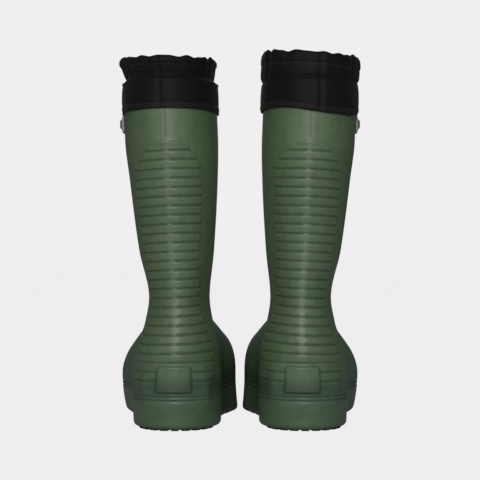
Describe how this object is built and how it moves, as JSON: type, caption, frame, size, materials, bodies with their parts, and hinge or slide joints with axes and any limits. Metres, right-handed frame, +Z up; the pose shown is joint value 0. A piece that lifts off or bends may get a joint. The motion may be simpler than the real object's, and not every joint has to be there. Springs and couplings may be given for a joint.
{
  "type": "insulated boots",
  "caption": "Pair of tall insulated pull-on boots: ribbed moulded foam shells on rubber treads, layered liners, turned-down fabric cuffs and gathered collars.",
  "frame": {"origin": "on the ground, under the middle of the pair", "axes": "+Z up, +Y towards the toes, +X from the left boot to the right boot"},
  "size_m": [0.2784, 0.3131, 0.403],
  "materials": {
    "shell_foam": "satin moulded foam",
    "tread_rubber": "matte",
    "cuff_nylon": "matte woven nylon",
    "hem_tape": "matte woven tape",
    "elastic": "knitted elastic",
    "webbing": "woven webbing",
    "snap_metal": "stamped metal",
    "snap_black": "black enamel",
    "liner_nylon": "woven nylon",
    "liner_felt": "needled felt",
    "liner_pile": "short pile",
    "footbed_felt": "felted fabric"
  },
  "bodies": {
    "left_boot": {"left_shell": "shell_foam", "left_liner_skin": "liner_nylon", "left_liner_felt": "liner_felt", "left_liner_pile": "liner_pile", "left_footbed": "footbed_felt", "left_cuff_band": "cuff_nylon", "left_hem_tape": "hem_tape", "left_collar": "cuff_nylon", "left_collar_elastic": "elastic", "left_snap_stud": "snap_metal", "left_heel_tread": "tread_rubber", "left_forefoot_tread": "tread_rubber"},
    "left_tab": {"left_side_tab": "webbing", "left_snap_socket": "snap_metal", "left_snap_cap": "snap_black"},
    "right_boot": {"right_shell": "shell_foam", "right_liner_skin": "liner_nylon", "right_liner_felt": "liner_felt", "right_liner_pile": "liner_pile", "right_footbed": "footbed_felt", "right_cuff_band": "cuff_nylon", "right_hem_tape": "hem_tape", "right_collar": "cuff_nylon", "right_collar_elastic": "elastic", "right_snap_stud": "snap_metal", "right_heel_tread": "tread_rubber", "right_forefoot_tread": "tread_rubber"},
    "right_tab": {"right_side_tab": "webbing", "right_snap_socket": "snap_metal", "right_snap_cap": "snap_black"}
  },
  "joints": [
    {"name": "right_boot_lift", "type": "slide", "parent": "left_boot", "child": "right_boot", "axis": [0, 0, 1], "range_m": [0, 0.4]},
    {"name": "left_tab_hinge", "type": "hinge", "parent": "left_boot", "child": "left_tab", "pos_m": [-0.1292, -0.0746, 0.338], "axis": [0, 1, 0], "range_deg": [0, 90]},
    {"name": "right_tab_hinge", "type": "hinge", "parent": "right_boot", "child": "right_tab", "pos_m": [0.1292, -0.0746, 0.338], "axis": [0, -1, 0], "range_deg": [0, 90]}
  ]
}
